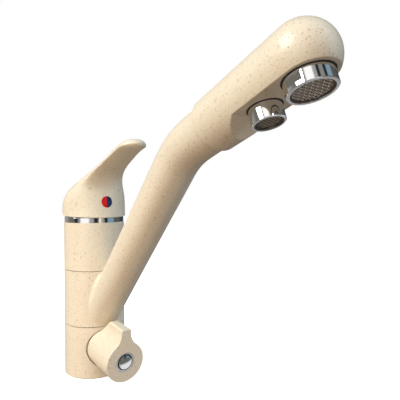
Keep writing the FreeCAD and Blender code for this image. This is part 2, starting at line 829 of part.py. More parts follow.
def spout_head():
    outside = head_outside()
    outside = outside.makeFillet(flat_edge_rounding, underside_edges(outside))
    boss = underside_rod(filter_aerator_radius + filter_boss_wall, flat_drop + filter_boss_rise,
                         filter_outlet_place)
    body = fuse(outside.cut(head_hollow()), boss.common(outside))
    tools = []
    for radius, shank, place in ((main_aerator_radius, main_aerator_shank, main_outlet_place),
                                 (filter_aerator_radius, filter_aerator_shank, filter_outlet_place)):
        tools.append(underside_rod(radius - thread_step, shank + washer_thickness, place))
        tools.append(underside_rod(radius + outlet_recess_gap, outlet_recess_depth, place))
    tools.append(underside_rod(water_bore_radius, flat_drop, main_outlet_place))
    tools.append(underside_rod(filter_chamber_radius, flat_drop + filter_chamber_rise, filter_outlet_place))
    tools.append(rod(filter_tube_radius + running_gap, head_start, filter_outlet_place))
    return put(cut(body, *tools), head_frame)


def aerator_housing(radius, wall, lip, shank, stands):
    """Chromed sleeve: threaded shank in the head, plain or flatted part below, lip that holds the insert."""
    bore = radius - wall
    thread = radius - thread_step - running_gap
    return lathe([(bore, -shank), (thread, -shank), (thread, 0), (radius, 0),
                  (radius, stands - lip_chamfer), (radius - lip_chamfer, stands), (bore - lip, stands),
                  (bore - lip, stands - lip_thickness), (bore, stands - lip_thickness)])


def main_aerator_housing():
    housing = aerator_housing(main_aerator_radius, main_aerator_wall, main_aerator_lip,
                              main_aerator_shank, main_aerator_stands)
    for side in (-1, 1):
        near = main_aerator_radius - main_flat_depth
        x_low, x_high = sorted((side * near, side * (near + 2 * main_flat_depth)))
        housing = housing.cut(block(x_low, x_high, -main_aerator_radius, main_aerator_radius,
                                    outlet_recess_depth, outlet_recess_depth + main_flat_height))
    return put(housing, main_frame)


def insert_body(radius, wall, lip, stands, recess):
    """Cup-shaped plastic insert that rests on the lip of its housing."""
    outer = radius - wall - insert_gap
    floor = stands - lip_thickness
    body = rod(outer, floor - insert_height, floor)
    inner = outer - insert_wall
    upper = rod(inner, floor - insert_height - overcut, floor - insert_height / 2)
    window = rod(inner - lip, floor - recess, floor + overcut)
    return cut(body, upper, window)


def main_aerator_insert():
    body = insert_body(main_aerator_radius, main_aerator_wall, main_aerator_lip, main_aerator_stands,
                       main_insert_recess)
    return put(body, main_frame)


def main_aerator_mesh():
    """Two layers of crossing bars in a thin ring."""
    window = main_aerator_radius - main_aerator_wall - insert_gap - insert_wall - main_aerator_lip
    outer = window - running_gap
    high = main_aerator_stands - lip_thickness
    low = high - mesh_thickness
    rim = tube(outer, outer - mesh_rim_width, low, high)
    pitch = 2 * outer / mesh_count
    bars = []
    for layer, angle in ((0, mesh_turn), (1, -mesh_turn)):
        level = low + layer * mesh_thickness / 2
        for step in range(mesh_count):
            place = (step + 0.5) * pitch - outer
            bar = block(-outer, outer, place - mesh_bar / 2, place + mesh_bar / 2, level,
                        level + mesh_thickness / 2)
            bar.rotate(V(0, 0, 0), V(0, 0, 1), angle)
            bars.append(bar)
    grid = bars[0].fuse(bars[1:]).common(rod(outer - mesh_rim_width / 2, low, high))
    return put(fuse(rim, grid), main_frame)


def filter_aerator_housing():
    housing = aerator_housing(filter_aerator_radius, filter_aerator_wall, filter_aerator_lip,
                              filter_aerator_shank, filter_aerator_stands)
    return put(housing, filter_frame)


def filter_aerator_insert():
    """Insert whose window is crossed by slats."""
    body = insert_body(filter_aerator_radius, filter_aerator_wall, filter_aerator_lip,
                       filter_aerator_stands, filter_insert_recess)
    inner = filter_aerator_radius - filter_aerator_wall - insert_gap - insert_wall - filter_aerator_lip
    high = filter_aerator_stands - lip_thickness - slat_recess
    low = high - slat_depth
    pitch = 2 * inner / slat_count
    slats = []
    for step in range(slat_count):
        place = (step + 0.5) * pitch - inner
        slats.append(block(-inner, inner, place - slat_width / 2, place + slat_width / 2, low, high))
    grille = slats[0].fuse(slats[1:])
    grille.rotate(V(0, 0, 0), V(0, 0, 1), mesh_turn)
    return put(fuse(body, grille.common(rod(inner + insert_wall / 2, low, high))), filter_frame)


def aerator_washer(radius, wall, shank, frame):
    washer = tube(radius - thread_step - running_gap, radius - 2 * wall - washer_reach,
                  -shank - washer_thickness, -shank)
    return put(washer, frame)


knob_back = pocket_floor + knob_back_gap
knob_face = knob_back + knob_length
knob_hub_start = knob_face - knob_hub_length
lug_back = knob_face - lug_length
valve_stem_end = knob_face - valve_stem_sunk
flare_x = lug_half_width + lug_flare
flare_y = math.sqrt((knob_radius + lug_flare) ** 2 - flare_x ** 2)


def knob_outline():
    """Circle with an upright lug: flat top, rounded corners, hollow flanks that run into the circle."""
    touch = V(flare_x, flare_y, 0) * (knob_radius / (knob_radius + lug_flare))
    toward = V(lug_half_width - flare_x, 0, 0) + (touch - V(flare_x, flare_y, 0))
    flank_mid = V(flare_x, flare_y, 0) + toward.normalize() * lug_flare
    flank_top = V(lug_half_width, flare_y, 0)
    corner_low = V(lug_half_width, lug_height - lug_corner, 0)
    corner_high = V(lug_half_width - lug_corner, lug_height, 0)
    bend = lug_corner * math.sqrt(0.5)
    corner_mid = V(lug_half_width - lug_corner + bend, lug_height - lug_corner + bend, 0)

    def mirrored(point):
        return V(-point.x, point.y, 0)

    right = [Part.Arc(touch, flank_mid, flank_top), Part.LineSegment(flank_top, corner_low),
             Part.Arc(corner_low, corner_mid, corner_high)]
    top = Part.LineSegment(corner_high, mirrored(corner_high))
    left = [Part.Arc(mirrored(corner_high), mirrored(corner_mid), mirrored(corner_low)),
            Part.LineSegment(mirrored(corner_low), mirrored(flank_top)),
            Part.Arc(mirrored(flank_top), mirrored(flank_mid), mirrored(touch))]
    bottom = Part.Arc(mirrored(touch), V(0, -knob_radius, 0), touch)
    return Part.Wire([item.toShape() for item in right + [top] + left + [bottom]])


def behind_lug():
    """Room behind the lug's sloping back, which clears the lower edge of the swivel ring."""
    slope = V(0, lug_height - knob_radius, lug_back_run)
    low = V(-knob_radius, knob_radius, lug_back - lug_back_run) - slope
    high = low + slope * 3
    face = Part.Face(Part.makePolygon([low, high, V(-knob_radius, high.y, low.z), low]))
    return face.extrude(V(2 * knob_radius, 0, 0))


def knob():
    outline = knob_outline()
    outline.translate(V(0, 0, knob_back))
    lugged = Part.Face(outline).extrude(V(0, 0, knob_length))
    rounded = [edge for edge in lugged.Edges if edge.BoundBox.ZMin > knob_face - near_enough]
    lugged = lugged.makeFillet(knob_edge_rounding, rounded).cut(behind_lug())
    body = fuse(lugged, rod(knob_radius, knob_back, lug_back))
    hollow = rod(knob_radius - knob_wall, knob_back - overcut, knob_hub_start)
    recess = rod(cap_radius + cap_gap, knob_face - cap_recess, knob_face + overcut)
    spline_hole = hex_prism(valve_stem_radius, knob_hub_start - overcut, valve_stem_end)
    head_room = rod(knob_screw_head_radius + cap_gap, valve_stem_end + knob_screw_land, knob_face)
    screw_hole = rod(knob_screw_radius + cap_gap, knob_hub_start, knob_face)
    return put(cut(body, hollow, recess, spline_hole, head_room, screw_hole), valve_frame)


def knob_cap():
    low = knob_face - cap_recess
    rim = knob_face - cap_dome / 2
    disc = rod(cap_radius, low, rim)
    bulge = (cap_radius ** 2 + cap_dome ** 2) / (2 * cap_dome)
    ball = Part.makeSphere(bulge, V(0, 0, rim + cap_dome - bulge))
    return put(fuse(disc, ball.common(rod(cap_radius, rim, rim + 2 * cap_dome))), valve_frame)


def knob_screw():
    head_low = valve_stem_end + knob_screw_land
    screw = fuse(rod(knob_screw_radius, head_low - knob_screw_length, head_low),
                 rod(knob_screw_head_radius, head_low, head_low + knob_screw_head_height))
    slot = block(-knob_screw_head_radius, knob_screw_head_radius, -knob_screw_slot_half,
                 knob_screw_slot_half, head_low + knob_screw_head_height / 2,
                 head_low + knob_screw_head_height + overcut)
    return put(screw.cut(slot), valve_frame)


valve_seat = valve_bore_end + valve_seal_thickness
valve_disc_top = valve_seat + valve_disc_thickness
valve_moving_top = valve_disc_top + valve_disc_thickness
bonnet_nose_end = pocket_floor + bonnet_nose_length
stem_seal_place = (bonnet_nose_end + pocket_floor) / 2


def valve_seat_seal():
    seal = tube(valve_disc_radius, valve_port_radius + valve_seal_step, valve_bore_end, valve_seat)
    return put(seal, valve_frame)


def half_moon(radius, low, high, side):
    """Sector window of a valve disc."""
    room = rod(radius - valve_window_rim, low - overcut, high + overcut)
    keep = block(-radius, radius, valve_window_land, radius, low - overcut, high + overcut)
    if side < 0:
        keep.rotate(V(0, 0, 0), V(0, 0, 1), 90)
    return room.common(keep)


def valve_fixed_disc():
    disc = rod(valve_disc_radius, valve_seat, valve_disc_top)
    return put(disc.cut(half_moon(valve_disc_radius, valve_seat, valve_disc_top, 1)), valve_frame)


def valve_moving_disc():
    low = valve_disc_top + running_gap
    disc = rod(valve_disc_radius - 2 * running_gap, low, valve_moving_top)
    return put(disc.cut(half_moon(valve_disc_radius, low, valve_moving_top, -1)), valve_frame)


def valve_bonnet():
    """Brass headpart: screwed sleeve with side windows, hexagon collar and nose with the stem bore."""
    outer = valve_bore_radius - running_gap
    inner = outer - bonnet_wall
    head_room = valve_moving_top + valve_stem_head + 2 * running_gap
    collar_top = pocket_floor + bonnet_collar_length
    sleeve = rod(outer, valve_seat, pocket_floor + overcut)
    collar = hex_prism(bonnet_collar_radius - bonnet_corner_cut, pocket_floor, collar_top)
    collar = collar.common(rod(bonnet_collar_radius, pocket_floor, collar_top))
    nose = rod(bonnet_nose_radius, pocket_floor, bonnet_nose_end)
    body = fuse(sleeve, collar, nose)
    windows = block(-column_radius, column_radius, -valve_port_radius, valve_port_radius, valve_disc_top,
                    valve_moving_top)
    upright = windows.copy()
    upright.rotate(V(0, 0, 0), V(0, 0, 1), 90)
    return put(cut(body, rod(inner, valve_seat - overcut, head_room),
                   rod(valve_stem_radius + running_gap, valve_seat, bonnet_nose_end + overcut),
                   windows, upright), valve_frame)


def valve_stem():
    head_low = valve_moving_top
    head = rod(valve_disc_radius - 2 * running_gap, head_low, head_low + valve_stem_head)
    shaft = rod(valve_stem_radius, head_low, knob_hub_start)
    drive = hex_prism(valve_stem_radius - running_gap, knob_hub_start, valve_stem_end)
    drive = drive.common(rod(valve_stem_radius, knob_hub_start, valve_stem_end))
    thread = rod(knob_screw_radius + running_gap, valve_stem_end - knob_screw_length,
                 valve_stem_end + overcut)
    groove = ring_groove(valve_stem_radius + running_gap, stem_seal_section, stem_seal_place)
    return put(cut(fuse(head, shaft, drive), thread, groove), valve_frame)


def valve_stem_seal():
    return put(sealing_ring(valve_stem_radius + running_gap, stem_seal_section, stem_seal_place), valve_frame)


def build():
    return {
        "base_body": base_body(),
        "base_gasket": base_gasket(),
        "lower_slide_ring": slide_ring(base_height, lower_seal, 1),
        "upper_slide_ring": slide_ring(upper_low, upper_seal, -1),
        "spout_seal_lower": sealing_ring(ring_bore_radius, seal_section, lower_seal),
        "spout_seal_middle": sealing_ring(ring_bore_radius, seal_section, middle_seal),
        "spout_seal_upper": sealing_ring(ring_bore_radius, seal_section, upper_seal),
        "neck_gasket": neck_gasket(),
        "upper_body": upper_body(),
        "cartridge_base": cartridge_base(),
        "cartridge_seals": cartridge_seals(),
        "fixed_disc": fixed_disc(),
        "moving_disc": moving_disc(),
        "disc_carrier": disc_carrier(),
        "cartridge_housing": cartridge_housing(),
        "cartridge_rotor": cartridge_rotor(),
        "pivot_pin": pivot_pin(),
        "cartridge_stem": cartridge_stem(),
        "cartridge_nut": cartridge_nut(),
        "trim_ring": trim_ring(),
        "handle": handle(),
        "hot_dot": dot_half(-1),
        "cold_dot": dot_half(1),
        "dot_plug": dot_plug(),
        "handle_screw": grub_screw(),
        "spout_arm": spout_arm(),
        "filter_tube": filter_tube(),
        "head_seal": head_seal(),
        "spout_head": spout_head(),
        "main_aerator_housing": main_aerator_housing(),
        "main_aerator_insert": main_aerator_insert(),
        "main_aerator_mesh": main_aerator_mesh(),
        "main_aerator_washer": aerator_washer(main_aerator_radius, main_aerator_wall, main_aerator_shank,
                                              main_frame),
        "filter_aerator_housing": filter_aerator_housing(),
        "filter_aerator_insert": filter_aerator_insert(),
        "filter_aerator_washer": aerator_washer(filter_aerator_radius, filter_aerator_wall,
                                                filter_aerator_shank, filter_frame),
        "knob": knob(),
        "knob_cap": knob_cap(),
        "knob_screw": knob_screw(),
        "valve_bonnet": valve_bonnet(),
        "valve_seat_seal": valve_seat_seal(),
        "valve_fixed_disc": valve_fixed_disc(),
        "valve_moving_disc": valve_moving_disc(),
        "valve_stem": valve_stem(),
        "valve_stem_seal": valve_stem_seal(),
    }


os.makedirs("parts", exist_ok=True)
for node, shape in build().items():
    shape.exportStep("parts/" + node + ".step")
    print(node, "solids", len(shape.Solids), "volume", round(shape.Volume, 1), "valid", shape.isValid())
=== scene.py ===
# %% [markdown]
# # Dressing a three-way kitchen tap
# The tap comes from the workshop as bare solids in metres: +Z is up, the spout points to -Y and the
# origin is the centre of the foot. Nothing in this lesson moves them. It gives every piece the
# finish that the real one has, adds the few small forms that solids are too coarse for, and sets
# up a plain studio.

# %% Load the bare tap
import json
import math

import bmesh
import bpy
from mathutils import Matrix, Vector


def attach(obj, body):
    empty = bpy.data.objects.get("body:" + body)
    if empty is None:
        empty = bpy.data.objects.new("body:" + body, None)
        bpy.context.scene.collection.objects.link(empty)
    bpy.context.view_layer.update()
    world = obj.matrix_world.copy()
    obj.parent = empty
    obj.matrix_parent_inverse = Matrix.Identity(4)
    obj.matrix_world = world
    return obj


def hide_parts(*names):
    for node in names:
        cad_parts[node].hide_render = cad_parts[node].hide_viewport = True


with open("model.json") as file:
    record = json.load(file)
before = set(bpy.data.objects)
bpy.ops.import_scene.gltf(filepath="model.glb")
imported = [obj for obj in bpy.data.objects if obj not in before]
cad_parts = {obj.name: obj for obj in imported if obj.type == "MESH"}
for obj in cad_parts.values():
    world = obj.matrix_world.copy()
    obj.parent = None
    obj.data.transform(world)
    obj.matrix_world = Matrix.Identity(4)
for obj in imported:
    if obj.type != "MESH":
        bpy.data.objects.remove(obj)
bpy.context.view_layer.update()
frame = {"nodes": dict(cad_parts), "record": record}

MM = 0.001
nodes = frame["nodes"]

# %% [markdown]
# ## Formulas on a surface
# A finish changes from place to place: a speck here, a duller spot there. In Blender each such
# change is a small network of nodes. Written by hand that is long and hard to read, so one class
# wraps the output of a node and lets plain arithmetic build the network: `1 - mask * 0.3` adds the
# two Math nodes by itself. Sizes on the surface are written as sizes: a texture that should repeat
# every 2 mm gets the scale `per(2 * MM)`.

# %% Arithmetic on node outputs
class Field:
    """A number that varies over the surface. Arithmetic on it adds Math nodes."""

    def __init__(self, network, socket):
        self.network = network
        self.socket = socket

    def maths(self, operation, *inputs, clamp=False):
        settings = {"operation": operation, "use_clamp": clamp}
        numbered = dict(enumerate(inputs))
        return self.network.node("ShaderNodeMath", settings, numbered, "Value")

    def __add__(self, other):
        return self.maths("ADD", self, other)

    def __sub__(self, other):
        return self.maths("SUBTRACT", self, other)

    def __rsub__(self, other):
        return self.maths("SUBTRACT", other, self)

    def __mul__(self, other):
        return self.maths("MULTIPLY", self, other)

    def __truediv__(self, other):
        return self.maths("DIVIDE", self, other)

    def __rtruediv__(self, other):
        return self.maths("DIVIDE", other, self)

    def __gt__(self, other):
        return self.maths("GREATER_THAN", self, other)

    def __lt__(self, other):
        return self.maths("LESS_THAN", self, other)

    def kept_to_unit(self):
        return self.maths("ADD", self, 0.0, clamp=True)

    __radd__ = __add__
    __rmul__ = __mul__


def per(length):
    """Scale of a texture whose pattern repeats about once in this length."""
    return 1.0 / length


print("a pattern that repeats every 2 mm has the scale", per(2 * MM))

# %% [markdown]
# The second helper is the network itself. Its `node` method is the only place where nodes are made.
# It takes the kind of node, its settings, and what goes into its sockets, and hands back one
# output. `colour` mixes two colours by a field, because arithmetic would turn a colour grey. The
# finishes of the tap use it, and later the room around it does too.

# %% One network
def find_socket(sockets, key):
    if isinstance(key, int):
        return sockets[key]
    for socket in sockets:
        if socket.identifier == key:
            return socket
    return sockets[key]


class Network:
    """A node tree that is written as formulas."""

    def __init__(self, tree):
        self.tree = tree

    def feed(self, socket, value):
        if isinstance(value, Field):
            self.tree.links.new(value.socket, socket)
        else:
            socket.default_value = value

    def node(self, kind, settings, inputs, output):
        node = self.tree.nodes.new(kind)
        for name, value in settings.items():
            if name == "stops":
                ramp = node.color_ramp.elements
                while len(ramp) < len(value):
                    ramp.new(0.5)
                for element, (place, colour) in zip(ramp, value):
                    element.position = place
                    element.color = (*colour, 1.0)
            else:
                setattr(node, name, value)
        for key, value in inputs.items():
            self.feed(find_socket(node.inputs, key), value)
        return Field(self, find_socket(node.outputs, output))

    def colour(self, factor, first, second):
        pick = {"Factor_Float": factor}
        for key, value in (("A_Color", first), ("B_Color", second)):
            pick[key] = value if isinstance(value, Field) else (*value, 1.0)
        return self.node("ShaderNodeMix", {"data_type": "RGBA"}, pick, "Result_Color")


print("network helper ready")

# %% [markdown]
# A finish is a network with the main shader of a material at its end. Plain numbers are set on the
# shader's own sockets, and `set` feeds what changes over the surface.

# %% One finish
class Finish(Network):
    """A material with its main shader."""

    def __init__(self, name, **constants):
        self.material = bpy.data.materials.new(name)
        self.material.use_nodes = True
        super().__init__(self.material.node_tree)
        self.shader = next(node for node in self.tree.nodes if node.type == "BSDF_PRINCIPLED")
        for key, value in constants.items():
            self.shader_input(key).default_value = value

    def shader_input(self, key):
        wanted = key.replace("_", " ")
        return next(socket for socket in self.shader.inputs if socket.name.lower() == wanted)

    def place(self):
        """Where a point lies on the piece, in metres; it travels with the piece."""
        return self.node("ShaderNodeTexCoord", {}, {}, "Object")

    def vector_maths(self, operation, inputs, output="Vector"):
        return self.node("ShaderNodeVectorMath", {"operation": operation}, inputs, output)

    def noise(self, size, detail=2.0, roughness=0.5):
        inputs = {"Vector": self.place(), "Scale": per(size), "Detail": detail,
                  "Roughness": roughness}
        return self.node("ShaderNodeTexNoise", {}, inputs, "Fac")

    def tool_marks(self, size, squeeze, detail):
        """A noise squeezed by its own factor along each axis, so that it lies in bands."""
        place = self.vector_maths("MULTIPLY", {0: self.place(), 1: squeeze})
        inputs = {"Vector": place, "Scale": per(size), "Detail": detail}
        return self.node("ShaderNodeTexNoise", {}, inputs, "Fac")

    def bump(self, height, depth, strength=1.0):
        inputs = {"Height": height, "Distance": depth, "Strength": strength}
        relief = self.node("ShaderNodeBump", {}, inputs, "Normal")
        self.feed(self.shader_input("normal"), relief)

    def set(self, **varying):
        for key, value in varying.items():
            self.feed(self.shader_input(key), value)


print("finish helper ready")

# %% [markdown]
# ## The oat paint with its granite look
# The brass castings are sprayed with a warm oat coloured paint, strewn with flecks of ground
# stone. Close up the flecks have no order: most are a few tenths of a millimetre across, a few
# reach one or two millimetres, and they run from rust and brown to dark grey. Scattered painted
# dots could do it, but cells of a Voronoi pattern are simpler: each cell holds at most one fleck,
# and the cell's own random colour decides whether it has one, how big it is and which tone it
# has. A noise bends the pattern, or every fleck would be a perfect disc. The pattern is tied to
# the piece, so the flecks stay where they are when it turns.

# %% A layer of flecks
def flecks(finish, cell, share, smallest, largest):
    """A mask of flecks, and a random number for the tone of each."""
    settings = {"voronoi_dimensions": "3D", "feature": "F1"}
    wobble = {"Vector": finish.place(), "Scale": per(cell / 2)}
    warped = finish.node("ShaderNodeTexNoise", {}, wobble, "Color")
    nudge = finish.vector_maths("SCALE", {0: warped, "Scale": cell / 3})
    shaken = finish.vector_maths("ADD", {0: finish.place(), 1: nudge})
    inputs = {"Vector": shaken, "Scale": per(cell)}
    distance = finish.node("ShaderNodeTexVoronoi", settings, inputs, "Distance")
    cell_colour = {"Color": finish.node("ShaderNodeTexVoronoi", settings, inputs, "Color")}
    present = finish.node("ShaderNodeSeparateColor", {}, cell_colour, "Red") > 1 - share
    growth = finish.node("ShaderNodeSeparateColor", {}, cell_colour, "Green")
    tone = finish.node("ShaderNodeSeparateColor", {}, cell_colour, "Blue")
    radius = (smallest + growth * growth * (largest - smallest)) / cell
    soft_edge = 0.18
    mask = ((radius - distance) / soft_edge + 0.5).kept_to_unit() * present
    return mask, tone


print("fleck helper ready")

# %% [markdown]
# The paint under the flecks isn't one colour either. Wide clouds and a fine sand of darker grains
# lie in it. The flecks come in three layers: few large pale ones, more of a middle size, and
# many small strong ones. One layer would look too even. The sprayed skin has a slight
# orange-peel surface, and its gloss is duller here and there.

# %% The paint itself
oat = (0.815, 0.722, 0.567)
oat_deep = (0.765, 0.662, 0.504)
sand_brown = (0.62, 0.48, 0.33)
sand_level = 0.52
sand_contrast = 2.4
fleck_tones = [(0.0, (0.50, 0.24, 0.09)), (0.45, (0.44, 0.25, 0.12)), (0.75, (0.28, 0.19, 0.11)),
               (1.0, (0.12, 0.10, 0.08))]
# For each layer: its cell, the share of cells with a fleck, the fleck's smallest and largest
# radius, and how strongly it covers.
fleck_layers = [
    (5.0 * MM, 0.40, 0.45 * MM, 0.95 * MM, 0.33),
    (2.6 * MM, 0.60, 0.26 * MM, 0.58 * MM, 0.50),
    (1.2 * MM, 0.60, 0.14 * MM, 0.36 * MM, 0.62),
]


def oat_granite_paint():
    finish = Finish("oat_granite_paint", ior=1.5, coat_roughness=0.12)
    clouds = finish.noise(14 * MM, detail=3.0)
    ground = finish.colour(clouds, oat_deep, oat)
    sand = finish.noise(1.3 * MM, detail=3.0, roughness=0.7)
    grains = ((sand - sand_level) * sand_contrast).kept_to_unit()
    ground = finish.colour(grains, ground, sand_brown)
    for cell, share, smallest, largest, strength in fleck_layers:
        mask, tone = flecks(finish, cell, share, smallest, largest)
        fleck = finish.node("ShaderNodeValToRGB", {"stops": fleck_tones}, {"Fac": tone}, "Color")
        ground = finish.colour(mask * strength, ground, fleck)
    worn = finish.noise(9 * MM, detail=2.0)
    finish.set(base_color=ground, roughness=0.30 + worn * 0.12, coat_weight=0.22 + worn * 0.1)
    peel = finish.noise(1.1 * MM, detail=1.0) + finish.noise(3.5 * MM, detail=0.0) * 1.5
    finish.bump(peel, depth=0.03 * MM, strength=0.6)
    return finish


paint = oat_granite_paint()
print("paint nodes:", len(paint.tree.nodes))

# %% [markdown]
# ## Chrome
# The trim ring, the knob's cap and both aerator housings are bright chrome. Chrome has almost no
# colour of its own and shows the room instead, so its look comes from the lights. What belongs to
# the metal is a trace of haze where fingers and water have been, and hairlines from turning and
# polishing, so roughness gets a little cloudiness and the bump a very shallow ripple.

# %% Bright chrome
def bright_chrome():
    finish = Finish("bright_chrome", metallic=1.0)
    haze = finish.noise(6 * MM, detail=3.0)
    hairlines = finish.tool_marks(4 * MM, (1.0, 1.0, 14.0), detail=4.0)
    finish.set(base_color=finish.colour(haze, (0.80, 0.82, 0.85), (0.88, 0.89, 0.90)),
               roughness=0.035 + haze * 0.05)
    finish.bump(hairlines, depth=0.004 * MM, strength=0.4)
    return finish


chrome = bright_chrome()
print("chrome ready")

# %% [markdown]
# ## The warm and cold dot, and other plastic
# Two half-round inlays, red to the left for hot and dark blue to the right for cold, are pressed
# into the front of the handle. They are coloured right through and glossy, with a slightly cloudy
# colour as moulded plastic has. The plug behind them, the cartridge, the slide rings, the tube for
# the filtered water and the seals are plastic or rubber too, so one function makes them all, and
# only colour, gloss and grain differ.

# %% Plastic and rubber
def moulded(name, colour, darker, roughness, gloss_coat=0.0, grain=0.6 * MM):
    """Plastic coloured through, with a slightly uneven tone and the fine grain of its mould."""
    finish = Finish(name, ior=1.49, coat_roughness=0.05)
    cloud = finish.noise(5 * MM, detail=2.0)
    skin = finish.noise(grain, detail=2.0)
    finish.set(base_color=finish.colour(cloud, darker, colour), roughness=roughness + skin * 0.08,
               coat_weight=gloss_coat * (0.8 + 0.2 * cloud))
    finish.bump(skin, depth=0.008 * MM, strength=0.5)
    return finish


inlay_gloss = 0.6
red_inlay = moulded("red_inlay", (0.78, 0.015, 0.01), (0.55, 0.008, 0.006), 0.22, inlay_gloss)
blue_inlay = moulded("blue_inlay", (0.012, 0.028, 0.10), (0.006, 0.014, 0.055), 0.22, inlay_gloss)
plug_plastic = moulded("plug_plastic", (0.27, 0.27, 0.28), (0.20, 0.20, 0.21), 0.45)
cartridge_plastic = moulded("cartridge_plastic", (0.86, 0.86, 0.83), (0.78, 0.78, 0.75), 0.40)
slide_plastic = moulded("slide_plastic", (0.045, 0.045, 0.05), (0.03, 0.03, 0.033), 0.38)
seal_rubber = moulded("seal_rubber", (0.028, 0.028, 0.028), (0.018, 0.018, 0.018), 0.62,
                      grain=0.3 * MM)
print("plastic and rubber ready")

# %% [markdown]
# ## Inner metals and the ceramic discs
# Screws, pin and stem are plain stainless steel, the nut and the valve's headpart are turned
# brass, and the sealing discs are lapped ceramic. They hide inside, but they show when the part
# is taken apart. Turned metal carries rings left by the tool. A noise squeezed along the height
# gives them at once on the upright pieces, the nut and the stem. The pin, the screws and the valve
# lie across, so theirs run the wrong way. These pieces are small and hidden, so that was left.

# %% Steel, brass and ceramic
def turned_metal(name, light, dark, roughness):
    finish = Finish(name, metallic=1.0)
    rings = finish.tool_marks(2 * MM, (0.25, 0.25, 6.0), detail=3.0)
    stain = finish.noise(8 * MM, detail=3.0)
    finish.set(base_color=finish.colour(stain, dark, light), roughness=roughness + rings * 0.14)
    finish.bump(rings, depth=0.02 * MM, strength=0.5)
    return finish


def lapped_ceramic():
    finish = Finish("lapped_ceramic", ior=1.7)
    cloud = finish.noise(7 * MM, detail=2.0)
    finish.set(base_color=finish.colour(cloud, (0.84, 0.82, 0.77), (0.91, 0.90, 0.87)),
               roughness=0.16 + cloud * 0.06)
    return finish


steel = turned_metal("plain_steel", (0.60, 0.60, 0.61), (0.50, 0.50, 0.51), 0.24)
brass = turned_metal("turned_brass", (0.74, 0.57, 0.28), (0.60, 0.44, 0.20), 0.22)
ceramic = lapped_ceramic()
print("inner finishes ready")

# %% [markdown]
# ## Measuring a bare piece
# The screen and the knob's cap need finer forms than their solids have, black rings of painted
# shade have to sit round both outlets, and the painted shade between the slats has to find the
# gaps. All of these lie on the axis of a round piece. That axis could be typed in, but then it
# would be wrong as soon as the tap changes. The bare meshes already know it: the flat side of a
# ring-shaped washer faces along the axis, and how far a piece reaches along it is a projection of
# its points. The knob's axis is that of its joint.

# %% Axis and reach of a round piece
class Axle:
    """A line through the middle of a round piece, pointing out of the tap."""

    def __init__(self, origin, direction):
        self.origin = Vector(origin)
        self.direction = Vector(direction).normalized()
        self.side = self.direction.orthogonal().normalized()
        self.other = self.direction.cross(self.side)

    def point(self, across, up, height):
        return self.origin + self.side * across + self.other * up + self.direction * height

    def reach(self, name):
        """Where a bare piece begins and ends along the axle, and its radius about it."""
        heights, radii = [], []
        for vertex in nodes[name].data.vertices:
            arm = vertex.co - self.origin
            height = arm.dot(self.direction)
            heights.append(height)
            radii.append((arm - self.direction * height).length)
        return min(heights), max(heights), max(radii)


def axle_of_washer(name):
    """The axle of a flat ring, taken from its widest face."""
    ring = nodes[name].data
    middle = sum((vertex.co for vertex in ring.vertices), Vector()) / len(ring.vertices)
    facing = max(ring.polygons, key=lambda face: face.area).normal
    return Axle(middle, -facing if facing.z > 0 else facing)


main_axle = axle_of_washer("main_aerator_washer")
filter_axle = axle_of_washer("filter_aerator_washer")
knob_joint = next(joint for joint in frame["record"]["behaviour"]["joints"]
                  if joint["name"] == "knob_turn")
knob_axle = Axle(knob_joint["pos_m"], knob_joint["axis"])
print("main aerator points to", [round(value, 3) for value in main_axle.direction])
print("filter aerator points to", [round(value, 3) for value in filter_axle.direction])

# %% [markdown]
# ## The slatted insert
# The small aerator ends in slats with gaps between them. Their plastic is grey on top of the
# slats, and the gaps and the rim outside the grille are painted nearly black as painted shade.
# Both are one piece, so the finish itself has to know where the gaps are: it measures how far a
# point lies along the axle and away from it.

# %% Painted shade between the slats
unshaded_depth = 0.35 * MM
grille_radius = 6.3 * MM
# Nearly black: painted shade in the gaps between the slats.
gap_shade = (0.035, 0.028, 0.024)


def slatted_plastic(axle, name):
    _, high, _ = axle.reach(name)
    finish = Finish("slatted_plastic", ior=1.49)
    cloud = finish.noise(2.5 * MM, detail=3.0)
    arm = finish.vector_maths("SUBTRACT", {0: finish.place(), 1: tuple(axle.origin)})
    height = finish.vector_maths("DOT_PRODUCT", {0: arm, 1: tuple(axle.direction)}, "Value")
    length = finish.vector_maths("LENGTH", {0: arm}, "Value")
    aside_squared = length * length - height * height
    aside = aside_squared.maths("SQRT", aside_squared)
    # Below the tops of the slats and outside the grille the plastic is painted nearly black as
    # painted shade.
    proud = height > high - unshaded_depth
    inside = 1 - (aside > grille_radius)
    grey = finish.colour(cloud, (0.42, 0.40, 0.36), (0.56, 0.54, 0.50))
    finish.set(base_color=finish.colour(proud * inside, gap_shade, grey), roughness=0.4 + cloud * 0.1)
    finish.bump(cloud, depth=0.01 * MM, strength=0.4)
    return finish


slat_plastic = slatted_plastic(filter_axle, "filter_aerator_insert")
print("slats ready")

# %% [markdown]
# ## Dressing the bare pieces
# The record that comes with the tap names a finish for each piece, so one table from that name to
# the material dresses all of them. Only the inserts of the two aerators get finishes of their
# own: the small one is slatted, and the one behind the screen is painted dark brown as painted
# shade.

# %% Hand out the finishes
# Dark brown all over: painted shade for the insert sunk behind the screen.
shaded_insert_plastic = moulded("shaded_insert_plastic", (0.13, 0.085, 0.062), (0.085, 0.058, 0.045), 0.5)
wardrobe = {
    "oat_paint": paint, "chrome": chrome, "red_inlay": red_inlay, "blue_inlay": blue_inlay,
    "plug_plastic": plug_plastic, "steel": steel, "brass": brass,
    "cartridge_plastic": cartridge_plastic, "disc_ceramic": ceramic,
    "slide_plastic": slide_plastic, "seal_rubber": seal_rubber,
}
own_finish = {"main_aerator_insert": shaded_insert_plastic, "filter_aerator_insert": slat_plastic}
for subpart in frame["record"]["subparts"]:
    name = subpart["node"]
    finish = own_finish.get(name) or wardrobe[subpart["material_slot"]]
    piece = nodes[name]
    piece.data.materials.clear()
    piece.data.materials.append(finish.material)

